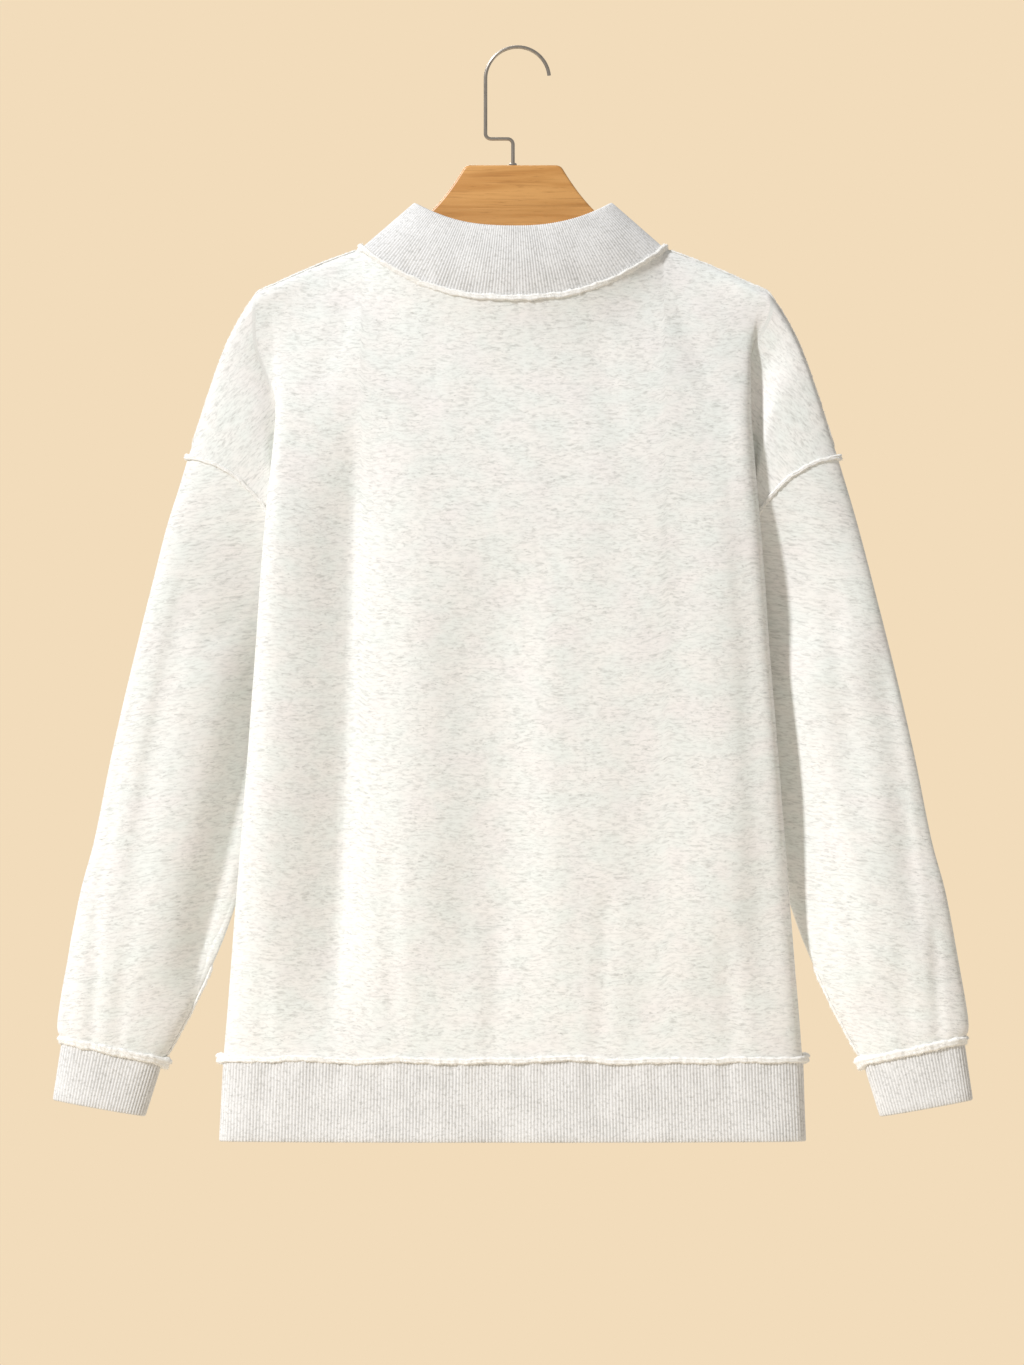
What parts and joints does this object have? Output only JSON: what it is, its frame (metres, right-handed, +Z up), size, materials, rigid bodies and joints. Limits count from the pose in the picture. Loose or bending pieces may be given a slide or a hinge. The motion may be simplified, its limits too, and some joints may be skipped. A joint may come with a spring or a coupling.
{
  "type": "tunic sweatshirt hanging on a wooden hanger",
  "caption": "Long fleece sweatshirt with a ribbed mock neck, ribbed cuffs and hem band and raw outside seams, hanging on a flat wooden hanger with a wire hook.",
  "frame": {"origin": "the inside of the hook's crown, where it bears on a rail, straight above the hook's stem", "axes": "+Z up; the garment's front faces -Y and its back faces +Y; +X is the wearer's left"},
  "size_m": [0.767, 0.0768, 0.9123],
  "materials": {
    "fleece": "heather oatmeal fleece, matt, softly napped",
    "rib": "one-by-one rib knit, matt, a little greyer",
    "raw_edge": "raw cut fleece edges, fuzzy",
    "hanger_wood": "light wood, satin lacquer, grain along the board",
    "hanger_wire": "satin nickel-plated wire"
  },
  "bodies": {
    "root": {"back_panel": "fleece", "front_panel": "fleece", "sleeve_left": "fleece", "sleeve_right": "fleece", "collar": "rib", "hem_band": "rib", "cuff_left": "rib", "cuff_right": "rib", "seam_neck": "raw_edge", "seam_hem": "raw_edge", "seam_shoulder_left": "raw_edge", "seam_shoulder_right": "raw_edge", "seam_armhole_left": "raw_edge", "seam_armhole_right": "raw_edge", "seam_sleeve_left": "raw_edge", "seam_sleeve_right": "raw_edge", "seam_cuff_left": "raw_edge", "seam_cuff_right": "raw_edge", "hanger_wood": "hanger_wood", "hanger_hook": "hanger_wire", "hanger_ferrule": "hanger_wire"}
  },
  "joints": []
}
